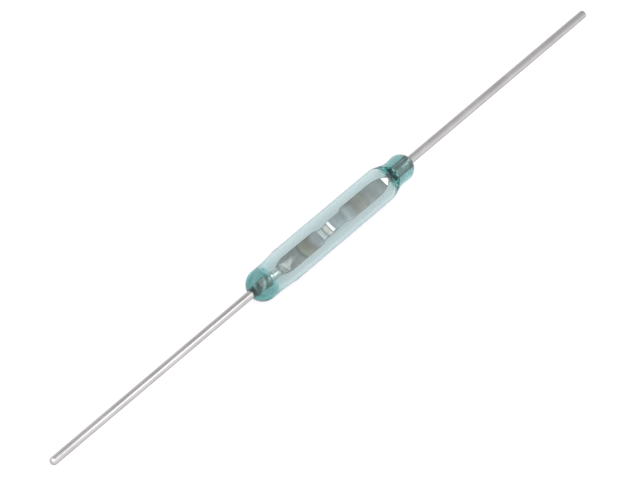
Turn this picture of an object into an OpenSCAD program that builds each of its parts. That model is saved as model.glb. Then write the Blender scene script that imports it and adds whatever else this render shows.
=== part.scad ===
// Glass reed switch: two flattened nickel-iron wires sealed in the ends of a small glass tube.
// Millimetres. +X runs along the switch, +Z is square to the blades' flats, and the origin is
// the middle of the glass on its axis.

/* [Glass capsule] */
// Length of the glass over its two domed ends
glass_length = 14; // [12.5:0.1:18]
// Outside diameter of the tube between its shoulders
tube_d = 2.2; // [2.1:0.05:2.6]
// Thickness of the tube's wall
tube_wall = 0.22; // [0.18:0.01:0.34]
// Outside diameter of the left end, where the glass has closed on the wire
left_end_d = 2; // [1.8:0.02:2.1]
// Outside diameter of the right end, where the glass has closed on the wire
right_end_d = 1.68; // [1.64:0.02:1.8]
// Outside diameter of the waist behind the right end
waist_d = 1.62; // [1.5:0.02:1.64]
// Distance from the left pole to the foot of the left shoulder
left_foot = 1.66; // [1.5:0.02:2]
// Distance from the right pole to the waist, the foot of the right shoulder
right_foot = 1.39; // [1.2:0.02:1.5]
// Length of the left shoulder along the axis
left_shoulder = 1.5; // [0.9:0.05:1.9]
// Length of the right shoulder along the axis
right_shoulder = 1.33; // [1.1:0.05:1.6]
// Length of wire held by solid glass at the left end
left_seal = 1.31; // [1.2:0.01:1.5]
// Length of wire held by solid glass at the right end
right_seal = 1.55; // [1.45:0.01:1.7]
// Slope of the chamber's left end, in degrees from the axis
left_slope = 12; // [8:1:20]
// Slope of the chamber's right end, in degrees from the axis
right_slope = 36; // [30:1:42]
// Radius of the bend from the bore into the left slope
left_bend = 3; // [0.5:0.1:4]
// Radius of the bend from the bore into the right slope
right_bend = 0.9; // [0.3:0.1:1.3]
// Radius of the corner in which the left slope closes on the wire
left_corner = 0.42; // [0.3:0.02:0.5]
// Radius of the corner in which the right slope closes on the wire
right_corner = 0.06; // [0.02:0.02:0.12]

/* [Leads] */
// Length of each lead from the glass's pole to the lead's end
lead_length = 16.5; // [5:0.1:25]
// Diameter of the lead outside the glass, with its tin coat
lead_d = 0.5; // [0.46:0.01:0.56]
// Thickness of the tin coat, which ends inside the seal
tin_coat = 0.01; // [0.005:0.005:0.02]
// Radius of the rounded edge at the left lead's end
left_end_round = 0.22; // [0.02:0.01:0.22]
// Radius of the rounded edge at the right lead's end
right_end_round = 0.1; // [0.02:0.01:0.22]
// Bare round wire between the left seal and the heel
left_neck = 0.81; // [0.6:0.01:1.1]
// Bare round wire between the right seal and the heel
right_neck = 0.57; // [0.4:0.01:0.8]

/* [Blades] */
// Length of the heel, where the round wire is pressed down to the blade's thickness
heel_length = 0.3; // [0.22:0.01:0.5]
// Width of the blade at the heel
root_w = 0.69; // [0.58:0.01:0.8]
// Width of the blade along its paddle
paddle_w = 1; // [0.85:0.01:1.1]
// Thickness of the paddle
paddle_t = 0.19; // [0.14:0.01:0.22]
// Length over which the heel's width grows to the paddle's
root_taper = 0.84; // [0.6:0.02:1.2]
// Width of the contact tip
tip_w = 0.73; // [0.6:0.01:0.8]
// Thickness of the contact tip
tip_t = 0.26; // [0.23:0.01:0.32]
// Length of the contact tip
tip_length = 1.13; // [0.9:0.01:1.4]
// Length over which the paddle's width falls to the tip's
tip_taper = 0.5; // [0.3:0.02:0.7]
// Length of the slope from the paddle's thickness to the tip's
step_length = 0.2; // [0.12:0.01:0.4]
// Radius of the tip's corners
tip_corner = 0.06; // [0.02:0.01:0.12]
// Length of the bevelled nose at the tip's end
nose_length = 0.1; // [0.05:0.01:0.3]
// Depth of the nose's bevel on each face
nose_drop = 0.08; // [0.02:0.01:0.1]
// Length by which the two tips overlap
overlap = 0.72; // [0.5:0.02:1]
// Open gap between the contact faces
contact_gap = 0.05; // [0.02:0.005:0.08]

/* [Hidden] */
$fn = 64;

// Steps in a quarter turn or in an S curve
curve_steps = 10;

// Wire radii outside and inside the glass, and the radii of the glass
lead_r = lead_d / 2;
wire_r = lead_r - tin_coat;
tube_r = tube_d / 2;
chamber_r = tube_r - tube_wall;
left_end_r = left_end_d / 2;
right_end_r = right_end_d / 2;
waist_r = waist_d / 2;

// Stations along the axis
left_pole = -glass_length / 2;
right_pole = glass_length / 2;
left_chamber = left_pole + left_seal;
right_chamber = right_pole - right_seal;
left_root = left_chamber + left_neck + heel_length;
right_root = right_chamber - right_neck - heel_length;

// The blades lie parallel, one above the other, so their lean follows from the tips' stack
root_span = right_root - left_root;
lean = asin((tip_t + contact_gap) / root_span);
blade_length = (root_span * cos(lean) + overlap) / 2;

// Depth of the dimple that a wire of radius r leaves where it enters a dome of radius R
function entry(R, r) = R - sqrt(R * R - r * r);

// An S curve from [x0, r0] to [x1, r1], level at both ends
function s_curve(x0, r0, x1, r1) = [
    for (i = [0 : curve_steps])
        let (u = i / curve_steps)
            [x0 + (x1 - x0) * u, r0 + (r1 - r0) * (1 - cos(180 * u)) / 2]
];

// A dome on the axis: centre at x, reach rx along the axis, radius rr, between two angles from the axis
function dome(x, rx, rr, a0, a1) = [
    for (i = [0 : curve_steps])
        let (a = a0 + (a1 - a0) * i / curve_steps)
            [x + rx * cos(a), rr * sin(a)]
];

// The chamber's end: a bend in from the bore, a cone, and a round corner that meets the wire at
// x = tip; way is -1 on the left and 1 on the right
function chamber_end(tip, slope, bend, corner, way) =
    let (
        cone_r = chamber_r - bend * (1 - cos(slope)),
        corner_r = wire_r + corner * cos(slope),
        corner_x = tip - way * corner * (1 - sin(slope)),
        cone_x = corner_x - way * (cone_r - corner_r) / tan(slope),
        foot_x = cone_x - way * bend * sin(slope)
    )
    concat(
        [
            for (i = [0 : curve_steps])
                let (a = slope * i / curve_steps)
                    [foot_x + way * bend * sin(a), chamber_r - bend * (1 - cos(a))]
        ],
        [
            for (i = [0 : curve_steps])
                let (a = slope + (90 - slope) * i / curve_steps)
                    [tip - way * corner * (1 - sin(a)), wire_r + corner * cos(a)]
        ]
    );

function reversed(points) = [for (i = [len(points) - 1 : -1 : 0]) points[i]];

// Spins an outline of [x, r] points about the X axis
module spun(points) {
    rotate([0, 90, 0])
        rotate_extrude()
            polygon([for (p = points) [p[1], p[0]]]);
}

// The tube with both ends closed on the wires, as one shell around the chamber
module glass_capsule() {
    left_outer = concat(
        reversed(dome(left_pole + left_end_r, -left_end_r, left_end_r, 90, asin(lead_r / left_end_r))),
        s_curve(left_pole + left_foot, left_end_r, left_pole + left_foot + left_shoulder, tube_r)
    );
    right_outer = concat(
        s_curve(right_pole - right_foot - right_shoulder, tube_r, right_pole - right_foot, waist_r),
        s_curve(right_pole - right_foot, waist_r, right_pole - right_end_r, right_end_r),
        dome(right_pole - right_end_r, right_end_r, right_end_r, 90, asin(lead_r / right_end_r))
    );
    inner = concat(
        reversed(chamber_end(right_chamber, right_slope, right_bend, right_corner, 1)),
        chamber_end(left_chamber, left_slope, left_bend, left_corner, -1)
    );
    color("paleturquoise", 0.5)
        spun(concat(left_outer, right_outer, inner));
}

// One lead with its heel at the origin, running to -X: the heel, the bare neck, the sealed
// stretch where the tin coat begins, and the tinned lead with its rounded end
module lead(neck, seal, end_r, end_round) {
    neck_x = -heel_length;
    seal_x = neck_x - neck;
    pole_x = seal_x - seal;
    end_x = pole_x - lead_length;
    heel_r = sqrt(pow(root_w / 2, 2) + pow(paddle_t / 2, 2));
    color("silver") {
        spun(concat(
            [
                [neck_x, 0],
                [neck_x, wire_r],
                [seal_x, wire_r],
                [pole_x + entry(end_r, lead_r), lead_r]
            ],
            [
                for (i = [0 : curve_steps])
                    let (a = 90 * i / curve_steps)
                        [
                            end_x + end_round * (1 - sin(a)),
                            lead_r - end_round * (1 - cos(a))
                        ]
            ],
            [[end_x, 0]]
        ));
        intersection() {
            translate([neck_x, 0, 0])
                rotate([0, 90, 0])
                    cylinder(h = heel_length, r1 = wire_r, r2 = heel_r);
            rotate([90, 0, 0])
                linear_extrude(2 * heel_r, center = true)
                    polygon([
                        [neck_x, wire_r],
                        [neck_x, -wire_r],
                        [0, -paddle_t / 2],
                        [0, paddle_t / 2]
                    ]);
        }
    }
}

// Half of the blade's outline from above, from its root to the middle of its tip
function blade_edge() =
    let (
        rise = (paddle_w - root_w) / 2,
        arc_r = (root_taper * root_taper + rise * rise) / (2 * rise),
        arc_a = asin(root_taper / arc_r),
        tip_x = blade_length - tip_length
    )
    concat(
        [[-paddle_t, root_w / 2]],
        [
            for (i = [0 : curve_steps])
                let (a = arc_a * (1 - i / curve_steps))
                    [root_taper - arc_r * sin(a), paddle_w / 2 - arc_r * (1 - cos(a))]
        ],
        s_curve(tip_x - tip_taper, paddle_w / 2, tip_x, tip_w / 2),
        [
            for (i = [0 : curve_steps])
                let (a = 90 * i / curve_steps)
                    [
                        blade_length - tip_corner * (1 - sin(a)),
                        tip_w / 2 - tip_corner * (1 - cos(a))
                    ]
        ]
    );

// One blade with its root at the origin, running to +X and leaning down: a pressed paddle that
// steps up to a thicker contact tip with a bevelled nose, cut square where it joins the heel
module blade() {
    edge = blade_edge();
    step_x = blade_length - tip_length;
    side = [
        [-paddle_t, paddle_t / 2],
        [step_x - step_length, paddle_t / 2],
        [step_x, tip_t / 2],
        [blade_length - nose_length, tip_t / 2],
        [blade_length, tip_t / 2 - nose_drop]
    ];
    color("darkgray")
        intersection() {
            rotate([0, lean, 0])
                intersection() {
                    linear_extrude(2 * tip_t, center = true)
                        polygon(concat(edge, [for (p = reversed(edge)) [p[0], -p[1]]]));
                    rotate([90, 0, 0])
                        linear_extrude(2 * paddle_w, center = true)
                            polygon(concat(side, [for (p = reversed(side)) [p[0], -p[1]]]));
                }
            translate([0, -paddle_w, -blade_length / 2])
                cube([2 * blade_length, 2 * paddle_w, blade_length]);
        }
}

module left_lead() {
    translate([left_root, 0, 0])
        lead(left_neck, left_seal, left_end_r, left_end_round);
}

module left_blade() {
    translate([left_root, 0, 0])
        blade();
}

module right_lead() {
    translate([right_root, 0, 0])
        rotate([0, 180, 0])
            lead(right_neck, right_seal, right_end_r, right_end_round);
}

module right_blade() {
    translate([right_root, 0, 0])
        rotate([0, 180, 0])
            blade();
}

glass_capsule();
left_lead();
left_blade();
right_lead();
right_blade();
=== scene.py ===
import math

import bmesh
import bpy
from mathutils import Matrix, Vector


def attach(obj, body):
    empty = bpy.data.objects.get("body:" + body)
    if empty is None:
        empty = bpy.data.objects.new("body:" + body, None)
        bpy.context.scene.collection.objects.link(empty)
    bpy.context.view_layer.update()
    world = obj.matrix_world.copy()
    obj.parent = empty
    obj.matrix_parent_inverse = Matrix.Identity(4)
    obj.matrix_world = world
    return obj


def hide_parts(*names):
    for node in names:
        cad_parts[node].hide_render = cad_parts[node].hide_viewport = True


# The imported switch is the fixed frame: +X along the switch, +Z square to the blades' flats,
# origin in the middle of the glass. Sizes below are in metres.
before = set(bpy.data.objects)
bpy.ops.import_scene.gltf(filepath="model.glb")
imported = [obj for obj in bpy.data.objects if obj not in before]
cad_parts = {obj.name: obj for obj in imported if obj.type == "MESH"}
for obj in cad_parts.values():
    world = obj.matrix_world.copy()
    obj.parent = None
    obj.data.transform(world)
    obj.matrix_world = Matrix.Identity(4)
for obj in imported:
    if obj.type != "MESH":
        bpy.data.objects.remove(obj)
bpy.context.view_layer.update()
mm = 0.001

# Glass capsule. A drawn tube of blue-green sealing glass. Each end was melted by a heater until it
# closed on its wire, so the left end is a full round bead and the right one a waisted bulb, and the
# chamber between them ends bluntly on the left and in a steep cone on the right.
glass_length = 14.0 * mm
tube_r = 1.1 * mm
tube_wall = 0.22 * mm
left_end_r = 1.0 * mm
right_end_r = 0.84 * mm
waist_r = 0.81 * mm
left_foot = 1.66 * mm
right_foot = 1.39 * mm
left_shoulder = 1.5 * mm
right_shoulder = 1.33 * mm
left_seal = 1.31 * mm
right_seal = 1.55 * mm
left_slope = math.radians(12)
right_slope = math.radians(36)
left_bend = 3.0 * mm
right_bend = 0.9 * mm
left_corner = 0.42 * mm
right_corner = 0.06 * mm
bare_wire_r = 0.24 * mm
glass_sides = 128
curve_steps = 28

# The glass wets the wire, so its bore is drawn a little inside the wire's skin.
bore_r = 0.8 * bare_wire_r
chamber_r = tube_r - tube_wall
left_pole = -glass_length / 2
right_pole = glass_length / 2
left_chamber = left_pole + left_seal
right_chamber = right_pole - right_seal


def s_curve(x0, r0, x1, r1):
    """Points from (x0, r0) to (x1, r1) on a curve that is level at both ends."""
    shares = [i / curve_steps for i in range(curve_steps + 1)]
    return [
        (x0 + (x1 - x0) * u, r0 + (r1 - r0) * (1 - math.cos(math.pi * u)) / 2) for u in shares
    ]


def dome(x, reach, radius, stop_r):
    """Points from the equator of a dome at x to where its radius falls to stop_r."""
    last = math.pi / 2 - math.asin(stop_r / radius)
    angles = [last * i / curve_steps for i in range(curve_steps + 1)]
    return [(x + reach * math.sin(a), radius * math.cos(a)) for a in angles]


def chamber_end(tip, slope, bend, corner, way):
    """The chamber's end: a bend in from the bore, a cone, and a round corner that ends on the wire."""
    cone_r = chamber_r - bend * (1 - math.cos(slope))
    corner_r = bare_wire_r + corner * math.cos(slope)
    corner_x = tip - way * corner * (1 - math.sin(slope))
    cone_x = corner_x - way * (cone_r - corner_r) / math.tan(slope)
    foot_x = cone_x - way * bend * math.sin(slope)
    shares = [i / curve_steps for i in range(curve_steps + 1)]
    bend_turns = [slope * u for u in shares]
    corner_turns = [slope + (math.pi / 2 - slope) * u for u in shares]
    points = [
        (foot_x + way * bend * math.sin(a), chamber_r - bend * (1 - math.cos(a)))
        for a in bend_turns
    ]
    points += [
        (tip - way * corner * (1 - math.sin(a)), bare_wire_r + corner * math.cos(a))
        for a in corner_turns
    ]
    return points + [(tip, bore_r)]


def new_piece(name, bm, material, sharp_deg):
    """Turns a bmesh into a smooth object whose edges stay crisp above an angle."""
    bmesh.ops.remove_doubles(bm, verts=bm.verts, dist=1e-8)
    bmesh.ops.recalc_face_normals(bm, faces=bm.faces)
    mesh = bpy.data.meshes.new(name)
    bm.to_mesh(mesh)
    bm.free()
    mesh.shade_smooth()
    mesh.set_sharp_from_angle(angle=math.radians(sharp_deg))
    mesh.materials.append(material)
    piece = bpy.data.objects.new(name, mesh)
    bpy.context.scene.collection.objects.link(piece)
    return piece


def skin_rings(bm, rings, closed_loop):
    """Joins rings of points into a skin; a closed loop joins the last ring to the first."""
    rows = [[bm.verts.new(p) for p in ring] for ring in rings]
    pairs = list(zip(rows, rows[1:]))
    if closed_loop:
        pairs.append((rows[-1], rows[0]))
    for one, other in pairs:
        for i in range(len(one)):
            j = (i + 1) % len(one)
            bm.faces.new((one[i], one[j], other[j], other[i]))
    return rows


def spun_ring(x, r, sides):
    """A circle of points about the X axis."""
    angles = [2 * math.pi * i / sides for i in range(sides)]
    return [Vector((x, r * math.cos(a), r * math.sin(a))) for a in angles]


def node_material(name):
    """A new material with its Principled shader and node tools."""
    material = bpy.data.materials.new(name)
    material.use_nodes = True
    tree = material.node_tree
    return material, tree.nodes, tree.links, tree.nodes["Principled BSDF"]


def grain(nodes, links, fineness, detail):
    """Noise that is fixed to a piece, with its own fineness along each axis."""
    place = nodes.new("ShaderNodeTexCoord")
    stretch = nodes.new("ShaderNodeMapping")
    stretch.inputs["Scale"].default_value = fineness
    noise = nodes.new("ShaderNodeTexNoise")
    noise.inputs["Scale"].default_value = 1.0
    noise.inputs["Detail"].default_value = detail
    links.new(place.outputs["Object"], stretch.inputs["Vector"])
    links.new(stretch.outputs["Vector"], noise.inputs["Vector"])
    return noise.outputs["Fac"]


def relief(nodes, links, surface, height, strength, depth):
    """Fine relief from a height, set on a shader or under another relief."""
    bump = nodes.new("ShaderNodeBump")
    bump.inputs["Strength"].default_value = strength
    bump.inputs["Distance"].default_value = depth
    links.new(height, bump.inputs["Height"])
    links.new(bump.outputs["Normal"], surface.inputs["Normal"])
    return bump


def sealing_glass():
    """Clear glass whose blue-green shows where it is thick, with faint ripples from the flame."""
    material, nodes, links, shader = node_material("sealing_glass")
    shader.inputs["Base Color"].default_value = (1.0, 1.0, 1.0, 1.0)
    shader.inputs["Roughness"].default_value = 0.0
    shader.inputs["IOR"].default_value = 1.5
    shader.inputs["Transmission Weight"].default_value = 1.0
    tint = nodes.new("ShaderNodeVolumeAbsorption")
    tint.inputs["Color"].default_value = (0.3, 0.72, 0.7, 1.0)
    tint.inputs["Density"].default_value = 1000.0
    links.new(tint.outputs["Volume"], nodes["Material Output"].inputs["Volume"])
    ripples = grain(nodes, links, (150.0, 500.0, 500.0), 2.0)
    relief(nodes, links, shader, ripples, 0.01, 0.05 * mm)
    return material


left_outer = list(reversed(dome(left_pole + left_end_r, -left_end_r, left_end_r, bore_r)))
left_rise = s_curve(
    left_pole + left_foot, left_end_r, left_pole + left_foot + left_shoulder, tube_r
)
right_fall = s_curve(
    right_pole - right_foot - right_shoulder, tube_r, right_pole - right_foot, waist_r
)
bulb_x = right_pole - right_end_r
bulb_rise = s_curve(right_pole - right_foot, waist_r, bulb_x, right_end_r)
right_outer = dome(bulb_x, right_end_r, right_end_r, bore_r)
right_inner = chamber_end(right_chamber, right_slope, right_bend, right_corner, 1)
left_inner = chamber_end(left_chamber, left_slope, left_bend, left_corner, -1)
outside = left_outer + left_rise + right_fall + bulb_rise[1:] + right_outer[1:]
inside = list(reversed(right_inner)) + left_inner
glass_mesh = bmesh.new()
skin_rings(
    glass_mesh, [spun_ring(x, r, glass_sides) for x, r in outside + inside], closed_loop=True
)
glass = new_piece("glass_body", glass_mesh, sealing_glass(), sharp_deg=40)
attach(glass, "capsule")
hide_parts("glass_capsule")

# Leads. Round nickel-iron wire, tinned outside the glass, dark with oxide where the glass holds it,
# with bright glint streaks painted across that oxide in the left seal, and bright in the chamber but
# for painted shade on the left heel. A shear cut it to length, and a press squeezed its inner end to a
# sloping heel, which runs on into the flat blade.
lead_length = 16.5 * mm
lead_r = 0.25 * mm
heel_length = 0.3 * mm
root_half_w = 0.345 * mm
heel_flat_half_w = 0.26 * mm
paddle_half_t = 0.095 * mm
side_points = 24
heel_steps = 12
heel_flare = 0.8
cut_steps = 10
left_cut_round = 0.22 * mm
right_cut_round = 0.1 * mm
tin_colour = (0.66, 0.645, 0.635)
dull_tin = 0.86
glint_step = 0.46 * mm
glint_start = 4.904 * mm
glint_slant = math.radians(45)

# The wire's skin along the switch: x in mm, then its tone, its share of the tin's roughness, and
# whether painted glint streaks cross it.
skin_reach = 10.0
wire_zones = (
    (-7.05, (1.0, 1.0, 0.0)),
    (-6.98, (0.3, 1.0, 0.0)),
    (-6.75, (0.38, 1.0, 0.0)),
    (-6.6, (0.45, 1.0, 1.0)),
    (-5.85, (0.5, 1.0, 1.0)),
    (-5.75, (0.55, 1.0, 0.0)),
    (-5.65, (0.88, 0.15, 0.0)),
    (-4.86, (0.88, 0.15, 0.0)),
    # The darker tone over the left heel is painted shade.
    (-4.8, (0.6, 0.5, 0.0)),
    (-4.5, (0.6, 0.5, 0.0)),
    (4.4, (0.9, 0.25, 0.0)),
    (4.95, (0.9, 0.25, 0.0)),
    (5.05, (0.4, 1.0, 0.0)),
    (5.6, (0.65, 1.0, 0.0)),
    (6.4, (0.65, 1.0, 0.0)),
    (6.65, (0.28, 1.0, 0.0)),
    (6.97, (0.28, 1.0, 0.0)),
    (7.02, (1.0, 1.0, 0.0)),
)


def pressed_ring(x, half_w, half_t, flat_half_w):
    """A pressed wire's section: flat above and below, with sides that bulge out between."""
    steps = [math.pi * (i / (side_points - 1) - 0.5) for i in range(side_points)]
    bulge = half_w - flat_half_w
    near = [(flat_half_w + bulge * math.cos(a), half_t * math.sin(a)) for a in steps]
    far = [(-y, -z) for y, z in near]
    return [Vector((x, y, z)) for y, z in near + far]


def ranged(nodes, links, value, found, wanted, eased=False):
    """A value moved from the range it is found in to the wanted one, and held at the ends."""
    node = nodes.new("ShaderNodeMapRange")
    if eased:
        node.interpolation_type = "SMOOTHSTEP"
    node.inputs["From Min"].default_value, node.inputs["From Max"].default_value = found
    node.inputs["To Min"].default_value, node.inputs["To Max"].default_value = wanted
    links.new(value, node.inputs["Value"])
    return node.outputs["Result"]


def worked_out(nodes, links, operation, *terms):
    """The result of a sum whose terms are sockets or plain numbers."""
    node = nodes.new("ShaderNodeMath")
    node.operation = operation
    for socket, term in zip(node.inputs, terms):
        if isinstance(term, float):
            socket.default_value = term
        else:
            links.new(term, socket)
    return node.outputs["Value"]


def toned(nodes, links, colour, tone):
    """A colour made lighter or darker by a tone."""
    node = nodes.new("ShaderNodeVectorMath")
    node.operation = "SCALE"
    links.new(colour, node.inputs["Vector"])
    links.new(tone, node.inputs["Scale"])
    return node.outputs["Vector"]


def along_switch(nodes, links, x, reach, stops):
    """A colour that changes along the switch, from stops of x in mm and colour."""
    share = ranged(nodes, links, x, (-reach * mm, reach * mm), (0.0, 1.0))
    ramp = nodes.new("ShaderNodeValToRGB")
    marks = ramp.color_ramp.elements
    marks.remove(marks[1])
    marks[0].position = 0.0
    marks[0].color = stops[0][1] + (1.0,)
    for stop_x, colour in stops:
        marks.new(0.5 + 0.5 * stop_x / reach).color = colour + (1.0,)
    links.new(share, ramp.inputs["Fac"])
    return ramp.outputs["Color"]


def painted_glints(nodes, links, place):
    """Bright slanting streaks of painted glint across the oxide, 0 between them."""
    slant = nodes.new("ShaderNodeMapping")
    slant.inputs["Rotation"].default_value = (0.0, 0.0, glint_slant)
    slant.inputs["Location"].default_value = (glint_start, 0.0, 0.0)
    glint_streaks = nodes.new("ShaderNodeTexWave")
    glint_streaks.inputs["Scale"].default_value = math.pi / 10 / glint_step
    links.new(place.outputs["Object"], slant.inputs["Vector"])
    links.new(slant.outputs["Vector"], glint_streaks.inputs["Vector"])
    return ranged(nodes, links, glint_streaks.outputs["Fac"], (0.65, 0.95), (0.0, 0.75))


def tinned_wire():
    """Satin tin, cloudy with fine lines along it, dark oxide in the seals with painted glint streaks in
    the left one, then bright wire with painted shade on the left heel.
    """
    material, nodes, links, shader = node_material("tinned_wire")
    shader.inputs["Metallic"].default_value = 1.0
    shader.inputs["Specular Tint"].default_value = (0.6, 0.6, 0.6, 1.0)
    place = nodes.new("ShaderNodeTexCoord")
    split = nodes.new("ShaderNodeSeparateXYZ")
    links.new(place.outputs["Object"], split.inputs["Vector"])
    clouds = grain(nodes, links, (700.0, 700.0, 700.0), 4.0)
    tin = nodes.new("ShaderNodeValToRGB")
    tin.color_ramp.elements[0].position = 0.3
    tin.color_ramp.elements[0].color = tuple(dull_tin * c for c in tin_colour) + (1.0,)
    tin.color_ramp.elements[1].position = 0.7
    tin.color_ramp.elements[1].color = tin_colour + (1.0,)
    links.new(clouds, tin.inputs["Fac"])
    zones = along_switch(nodes, links, split.outputs["X"], skin_reach, wire_zones)
    skin = nodes.new("ShaderNodeSeparateColor")
    links.new(zones, skin.inputs["Color"])
    tone, gloss, glinted = skin.outputs["Red"], skin.outputs["Green"], skin.outputs["Blue"]
    # Painted glints: bright slanting streaks lighten the oxide where the zones let them.
    glint_streaks = painted_glints(nodes, links, place)
    tone = worked_out(nodes, links, "MULTIPLY_ADD", glint_streaks, glinted, tone)
    links.new(toned(nodes, links, tin.outputs["Color"], tone), shader.inputs["Base Color"])
    satin = ranged(nodes, links, clouds, (0.0, 1.0), (0.18, 0.3))
    rough = worked_out(nodes, links, "MULTIPLY", satin, gloss)
    links.new(rough, shader.inputs["Roughness"])
    drawn_lines = grain(nodes, links, (400.0, 9000.0, 9000.0), 3.0)
    relief(nodes, links, shader, drawn_lines, 0.15, 0.004 * mm)
    return material


def lead_rings(neck, seal, end_r, cut_round):
    """Rings of one lead from its cut end to its heel, with the heel's end at the origin."""
    neck_x = -heel_length
    seal_x = neck_x - neck
    pole_x = seal_x - seal
    end_x = pole_x - lead_length
    entry_x = pole_x + end_r - math.sqrt(end_r**2 - lead_r**2)
    quarter = [math.pi / 2 * i / cut_steps for i in range(cut_steps + 1)]
    stations = [
        (end_x + cut_round * (1 - math.cos(a)), lead_r - cut_round * (1 - math.sin(a)))
        for a in quarter
    ]
    stations += [(entry_x, lead_r), (seal_x, bare_wire_r), (neck_x, bare_wire_r)]
    rings = [pressed_ring(x, r, r, 0.0) for x, r in stations]
    for i in range(1, heel_steps + 1):
        u = i / heel_steps
        half_w = bare_wire_r + (root_half_w - bare_wire_r) * u
        half_t = bare_wire_r + (paddle_half_t - bare_wire_r) * u
        flat_half_w = heel_flat_half_w * u**heel_flare
        rings.append(pressed_ring(neck_x + heel_length * u, half_w, half_t, flat_half_w))
    return rings


def make_lead(name, place, neck, seal, end_r, cut_round, material):
    """One lead with its heel, set at its place in the switch."""
    bm = bmesh.new()
    rows = skin_rings(bm, lead_rings(neck, seal, end_r, cut_round), closed_loop=False)
    bm.faces.new(rows[0])
    bm.faces.new(rows[-1])
    bmesh.ops.transform(bm, matrix=place, verts=bm.verts)
    return new_piece(name, bm, material, sharp_deg=14)


left_neck = 0.81 * mm
right_neck = 0.57 * mm
left_root = left_chamber + left_neck + heel_length
right_root = right_chamber - right_neck - heel_length
left_place = Matrix.Translation((left_root, 0, 0))
right_place = Matrix.Translation((right_root, 0, 0)) @ Matrix.Rotation(math.pi, 4, "Y")
tin = tinned_wire()
left_wire = make_lead(
    "left_wire", left_place, left_neck, left_seal, left_end_r, left_cut_round, tin
)
right_wire = make_lead(
    "right_wire", right_place, right_neck, right_seal, right_end_r, right_cut_round, tin
)
for wire, node in ((left_wire, "left_lead"), (right_wire, "right_lead")):
    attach(wire, "capsule")
    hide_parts(node)

# Blades. The flat ends of the two wires, pressed thin along the paddle so that they bend there, and
# left thicker at the narrow contact tips, which are plated. The right tip lies over the left one,
# with a gap between them that a magnet closes.
paddle_half_w = 0.5 * mm
root_taper = 0.84 * mm
tip_half_w = 0.365 * mm
tip_half_t = 0.13 * mm
tip_length = 1.13 * mm
tip_taper = 0.5 * mm
step_length = 0.2 * mm
stair = 0.06 * mm
tip_corner = 0.06 * mm
nose_length = 0.1 * mm
nose_drop = 0.08 * mm
overlap = 0.72 * mm
contact_gap = 0.05 * mm
edge_bulge = 0.085 * mm
nose_round = 0.02 * mm
nose_steps = 5
root_span = right_root - left_root
lean = math.asin((2 * tip_half_t + contact_gap) / root_span)
blade_length = (root_span * math.cos(lean) + overlap) / 2

# The facet at the left root, where a caustic is painted, has three straight sides: a share of x, a
# share of y, and where their sum stops. Its sides are soft over a short way. These are in mm.
facet_sides = ((0.0, 1.0, 0.22), (0.7, -1.0, -2.437), (-1.0, -0.43, 4.35))
facet_soft = 0.05

# The blades' tint along the switch, from the bare metal of the roots to the plated contact: x in mm,
# then the colour. Near -0.5 mm the stops turn near-white, a painted highlight over the plating at the
# right tip's nose and the left tip beside it. The tints bow outwards at the blades' sides.
band_bow = 800.0
band_reach = 5.0
film_and_highlight_stops = (
    (-3.1, (0.43, 0.42, 0.42)),
    (-2.93, (0.41, 0.4, 0.39)),
    (-2.82, (0.27, 0.26, 0.25)),
    (-2.69, (0.48, 0.46, 0.39)),
    (-2.28, (0.47, 0.42, 0.355)),
    (-2.08, (0.41, 0.345, 0.31)),
    (-1.88, (0.42, 0.36, 0.33)),
    (-1.57, (0.57, 0.56, 0.59)),
    (-0.87, (0.62, 0.62, 0.65)),
    (-0.8, (0.48, 0.48, 0.5)),
    (-0.69, (0.51, 0.51, 0.52)),
    (-0.6, (0.73, 0.7, 0.68)),
    # Painted highlight: near-white at the right tip's nose and the left tip beside it.
    (-0.53, (1.0, 0.95, 0.94)),
    (-0.25, (0.95, 0.89, 0.87)),
    (-0.2, (0.65, 0.67, 0.71)),
    (1.2, (0.66, 0.66, 0.69)),
    (1.6, (0.62, 0.61, 0.63)),
    (1.9, (0.5, 0.44, 0.42)),
    (2.25, (0.51, 0.46, 0.43)),
    (2.75, (0.55, 0.52, 0.47)),
    (2.9, (0.49, 0.47, 0.45)),
    (3.1, (0.57, 0.56, 0.56)),
)


def smooth_share(x, x0, x1):
    """How far x is from x0 to x1, eased at both ends, from 0 to 1."""
    u = min(1.0, max(0.0, (x - x0) / (x1 - x0)))
    return (1 - math.cos(math.pi * u)) / 2


def blade_half_w(x):
    """Half of the blade's width at a distance from its root."""
    rise = paddle_half_w - root_half_w
    arc_r = (root_taper**2 + rise**2) / (2 * rise)
    tip_x = blade_length - tip_length
    if x < root_taper:
        return paddle_half_w - arc_r + math.sqrt(arc_r**2 - (root_taper - x) ** 2)
    half_w = paddle_half_w
    half_w += (tip_half_w - paddle_half_w) * smooth_share(x, tip_x - tip_taper, tip_x)
    past = x - (blade_length - tip_corner)
    if past > 0:
        half_w -= tip_corner - math.sqrt(max(0.0, tip_corner**2 - past**2))
    return half_w


def blade_half_t(x):
    """Half of the blade's thickness at a distance from its root."""
    step_x = blade_length - tip_length
    first = min(1.0, max(0.0, (x - step_x + step_length) / stair))
    second = min(1.0, max(0.0, (x - step_x + stair) / stair))
    nose = max(0.0, (x - blade_length + nose_length) / nose_length)
    return paddle_half_t + (tip_half_t - paddle_half_t) * (first + second) / 2 - nose_drop * nose


def blade_ring(x, inset):
    """The blade's section: a flat bar with pressed-out round edges, drawn in by an inset at its end."""
    half_w, half_t = blade_half_w(x) - inset, blade_half_t(x) - inset
    return pressed_ring(x, half_w, half_t, half_w - min(edge_bulge, half_t))


def blade_stations():
    """Distances from the root at which the blade's outline is drawn, closer where it curves."""
    step_x = blade_length - tip_length
    stops = [
        (0.0, root_taper, 16),
        (root_taper, step_x - tip_taper, 6),
        (step_x - tip_taper, step_x - step_length, 8),
        (step_x - step_length, step_x, 10),
        (step_x, blade_length - nose_length, 6),
        (blade_length - nose_length, blade_length - tip_corner, 4),
        (blade_length - tip_corner, blade_length - nose_round, 3),
    ]
    return [x0 + (x1 - x0) * i / n for x0, x1, n in stops for i in range(n)]


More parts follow.
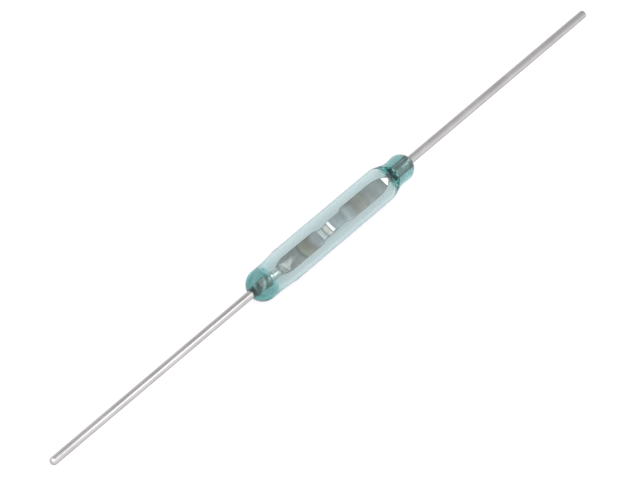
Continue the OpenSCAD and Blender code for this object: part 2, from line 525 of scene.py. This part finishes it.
def facet_with_painted_caustic(nodes, links, x, y):
    """1 on the facet at the left root where a caustic is painted and 0 off it, soft at its sides."""
    facet = None
    for by_x, by_y, stop in facet_sides:
        lean_x = worked_out(nodes, links, "MULTIPLY", x, by_x)
        reach = worked_out(nodes, links, "MULTIPLY_ADD", y, by_y, lean_x)
        limits = (stop * mm, (stop - facet_soft) * mm)
        within = ranged(nodes, links, reach, limits, (0.0, 1.0), eased=True)
        if facet is None:
            facet = within
        else:
            facet = worked_out(nodes, links, "MULTIPLY", facet, within)
    return facet


def pressed_blade():
    """Satin nickel-iron, clouded and marked by the press, tinted in bands and plated round the contact,
    with a painted caustic at the left root, painted shade on the rounded edges and a painted highlight
    at the right tip's nose.
    """
    material, nodes, links, shader = node_material("pressed_blade")
    shader.inputs["Metallic"].default_value = 1.0
    shader.inputs["Roughness"].default_value = 0.28
    place = nodes.new("ShaderNodeTexCoord")
    split = nodes.new("ShaderNodeSeparateXYZ")
    links.new(place.outputs["Object"], split.inputs["Vector"])
    x, y = split.outputs["X"], split.outputs["Y"]
    bow = worked_out(nodes, links, "MULTIPLY", worked_out(nodes, links, "MULTIPLY", y, y), band_bow)
    side = worked_out(nodes, links, "SIGN", x)
    bowed_x = worked_out(nodes, links, "MULTIPLY_ADD", bow, side, x)
    film_and_highlight = along_switch(nodes, links, bowed_x, band_reach, film_and_highlight_stops)
    marks = grain(nodes, links, (9000.0, 700.0, 9000.0), 3.0)
    worn = ranged(nodes, links, marks, (0.3, 0.7), (0.88, 1.0))
    clouds = grain(nodes, links, (1400.0, 1400.0, 1400.0), 4.0)
    stain = ranged(nodes, links, clouds, (0.35, 0.65), (0.87, 1.1))
    stained = worked_out(nodes, links, "MULTIPLY", worn, stain)
    facet = facet_with_painted_caustic(nodes, links, x, y)
    # Painted caustic: the facet is lit up to 1.8 times as bright.
    painted_caustic = ranged(nodes, links, facet, (0.0, 1.0), (1.0, 1.8))
    # Painted shade: the rounded edges darken as they turn from upright, down to half as bright.
    facing = nodes.new("ShaderNodeSeparateXYZ")
    links.new(place.outputs["Normal"], facing.inputs["Vector"])
    upright = worked_out(nodes, links, "ABSOLUTE", facing.outputs["Z"])
    painted_edge_shade = ranged(nodes, links, upright, (0.5, 0.95), (0.5, 1.0))
    caustic_and_edge_shade = worked_out(nodes, links, "MULTIPLY", painted_caustic, painted_edge_shade)
    metal = toned(nodes, links, toned(nodes, links, film_and_highlight, stained), caustic_and_edge_shade)
    links.new(metal, shader.inputs["Base Color"])
    press_marks = relief(nodes, links, shader, marks, 0.08, 0.003 * mm)
    relief(nodes, links, press_marks, facet, 1.0, 0.05 * mm)
    return material


def make_blade(name, place, material):
    """One blade, leaning from its root, set at its place in the switch."""
    bm = bmesh.new()
    rings = [blade_ring(x, 0.0) for x in blade_stations()]
    for i in range(1, nose_steps + 1):
        a = math.pi / 2 * i / nose_steps
        rings.append(
            blade_ring(
                blade_length - nose_round * (1 - math.sin(a)), nose_round * (1 - math.cos(a))
            )
        )
    turn = Matrix.Rotation(lean, 4, "Y")
    rings = [[turn @ p for p in ring] for ring in rings]
    for p in rings[0]:
        p.x = 0.0
    rows = skin_rings(bm, rings, closed_loop=False)
    bm.faces.new(rows[0])
    bm.faces.new(rows[-1])
    bmesh.ops.transform(bm, matrix=place, verts=bm.verts)
    piece = new_piece(name, bm, material, sharp_deg=40)
    flat = piece.modifiers.new("flat_faces", "WEIGHTED_NORMAL")
    flat.keep_sharp = True
    return piece


reed_metal = pressed_blade()
for name, node, place in (
    ("left_reed", "left_blade", left_place),
    ("right_reed", "right_blade", right_place),
):
    reed = make_blade(name, place, reed_metal)
    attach(reed, node)
    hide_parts(node)

# Table. A plain white sheet that the glass lies on. It glows from below like a light table, brighter
# where the camera sees it bare than where it is seen through the glass, so that it photographs as clean
# white; its dimmer glow seen through the glass is painted shade that stands in for the shade under the
# switch.
table_half = 600 * mm
table_top = -tube_r - 0.01 * mm
table_mesh = bmesh.new()
bmesh.ops.create_grid(table_mesh, x_segments=2, y_segments=2, size=table_half)
bmesh.ops.translate(table_mesh, verts=table_mesh.verts, vec=(0, 0, table_top))
white_sheet, sheet_nodes, sheet_links, sheet_shader = node_material("white_sheet")
sheet_shader.inputs["Base Color"].default_value = (0.25, 0.25, 0.25, 1.0)
sheet_shader.inputs["Emission Color"].default_value = (0.97, 0.94, 1.0, 1.0)
sheet_shader.inputs["Roughness"].default_value = 0.9
bare = sheet_nodes.new("ShaderNodeLightPath")
glow = ranged(sheet_nodes, sheet_links, bare.outputs["Is Camera Ray"], (0.0, 1.0), (0.505, 0.8))
sheet_links.new(glow, sheet_shader.inputs["Emission Strength"])
table = new_piece("table", table_mesh, white_sheet, sharp_deg=40)

# Flag. A dark grey card that stands along the far side of the switch, hidden from the camera, and
# gives the wires, the blades and the glass a darker far edge.
flag_y = 40 * mm
flag_low, flag_high = 22 * mm, 48 * mm
flag_left, flag_right = -15 * mm, 38 * mm
flag_mesh = bmesh.new()
flag_corners = (
    (flag_left, flag_y, flag_low),
    (flag_right, flag_y, flag_low),
    (flag_right, flag_y, flag_high),
    (flag_left, flag_y, flag_high),
)
flag_mesh.faces.new([flag_mesh.verts.new(corner) for corner in flag_corners])
grey_card, _, _, card_shader = node_material("grey_card")
card_shader.inputs["Base Color"].default_value = (0.3, 0.3, 0.3, 1.0)
card_shader.inputs["Roughness"].default_value = 0.9
flag = new_piece("flag", flag_mesh, grey_card, sharp_deg=40)
flag.visible_camera = False

# Light. A white tent all round that falls off towards the far lead, a large soft box behind the
# camera's shoulder, and a small one over the far lead that draws the line along the near one.
scene = bpy.context.scene
dim_side = Vector((0.95, 0.2, 0.24)).normalized()
tent_stops = (
    (0.0, 1.0),
    (0.4, 0.95),
    (0.5, 0.88),
    (0.58, 0.76),
    (0.65, 0.68),
    (0.72, 0.6),
    (0.77, 0.56),
    (0.83, 0.5),
    (0.9, 0.42),
    (1.0, 0.38),
)
tent = bpy.data.worlds.new("tent")
tent.use_nodes = True
scene.world = tent
tent_nodes, tent_links = tent.node_tree.nodes, tent.node_tree.links
sky = tent_nodes["Background"]
facing = tent_nodes.new("ShaderNodeTexCoord")
toward = tent_nodes.new("ShaderNodeVectorMath")
toward.operation = "DOT_PRODUCT"
toward.inputs[1].default_value = dim_side
cloth = tent_nodes.new("ShaderNodeValToRGB")
folds = cloth.color_ramp.elements
folds[0].position, folds[1].position = tent_stops[0][0], tent_stops[-1][0]
folds[0].color = (tent_stops[0][1],) * 3 + (1.0,)
folds[1].color = (tent_stops[-1][1],) * 3 + (1.0,)
for position, grey in tent_stops[1:-1]:
    folds.new(position).color = (grey, grey, grey, 1.0)
tent_links.new(facing.outputs["Generated"], toward.inputs[0])
tent_links.new(toward.outputs["Value"], cloth.inputs["Fac"])
tent_links.new(cloth.outputs["Color"], sky.inputs["Color"])
sky.inputs["Strength"].default_value = 1.15


def soft_box(name, centre, wide, deep, radiance, level):
    """A soft box of a given brightness that faces the switch, or straight down if level."""
    lamp = bpy.data.lights.new(name, "AREA")
    lamp.shape = "RECTANGLE"
    lamp.size, lamp.size_y = wide, deep
    lamp.energy = radiance * math.pi * wide * deep
    box = bpy.data.objects.new(name, lamp)
    turn = Matrix.Identity(4)
    if not level:
        turn = (-Vector(centre)).to_track_quat("-Z", "Y").to_matrix().to_4x4()
    box.matrix_world = Matrix.Translation(centre) @ turn
    box.visible_camera = False
    scene.collection.objects.link(box)


soft_box("shoulder_box", (-216 * mm, 60 * mm, 558 * mm), 500 * mm, 500 * mm, 3.0, False)
soft_box("line_box", (25.5 * mm, -25 * mm, 80 * mm), 31 * mm, 40 * mm, 1.85, True)

# Light turns many times inside the glass before it leaves, and its seals go black if it is cut short.
light_turns = 24
scene.cycles.max_bounces = light_turns
scene.cycles.glossy_bounces = light_turns
scene.cycles.transmission_bounces = light_turns

# Camera. It looks down on the near end of the switch, so the far lead runs up to the right.
axis_tilt = math.radians(29.9)
blade_turn = math.radians(10.0)
picture_slope = math.radians(40.2)
camera_distance = 220.4 * mm
aim_right = 0.671 * mm
aim_down = -0.796 * mm
back = Vector(
    (
        -math.sin(axis_tilt),
        -math.cos(axis_tilt) * math.sin(blade_turn),
        math.cos(axis_tilt) * math.cos(blade_turn),
    )
)
along = (Vector((1, 0, 0)) + math.sin(axis_tilt) * back).normalized()
across = (-back).cross(along)
right = math.cos(picture_slope) * along + math.sin(picture_slope) * across
down = -math.sin(picture_slope) * along + math.cos(picture_slope) * across
camera_data = bpy.data.cameras.new("camera")
camera_data.sensor_width = 36
camera_data.lens = 212.1
camera_data.clip_start = 10 * mm
camera_data.clip_end = 5.0
camera = bpy.data.objects.new("camera", camera_data)
scene.collection.objects.link(camera)
spot = back * camera_distance - right * aim_right - down * aim_down
camera.matrix_world = Matrix.Translation(spot) @ Matrix((right, -down, back)).transposed().to_4x4()
scene.camera = camera
scene.view_settings.view_transform = "Standard"
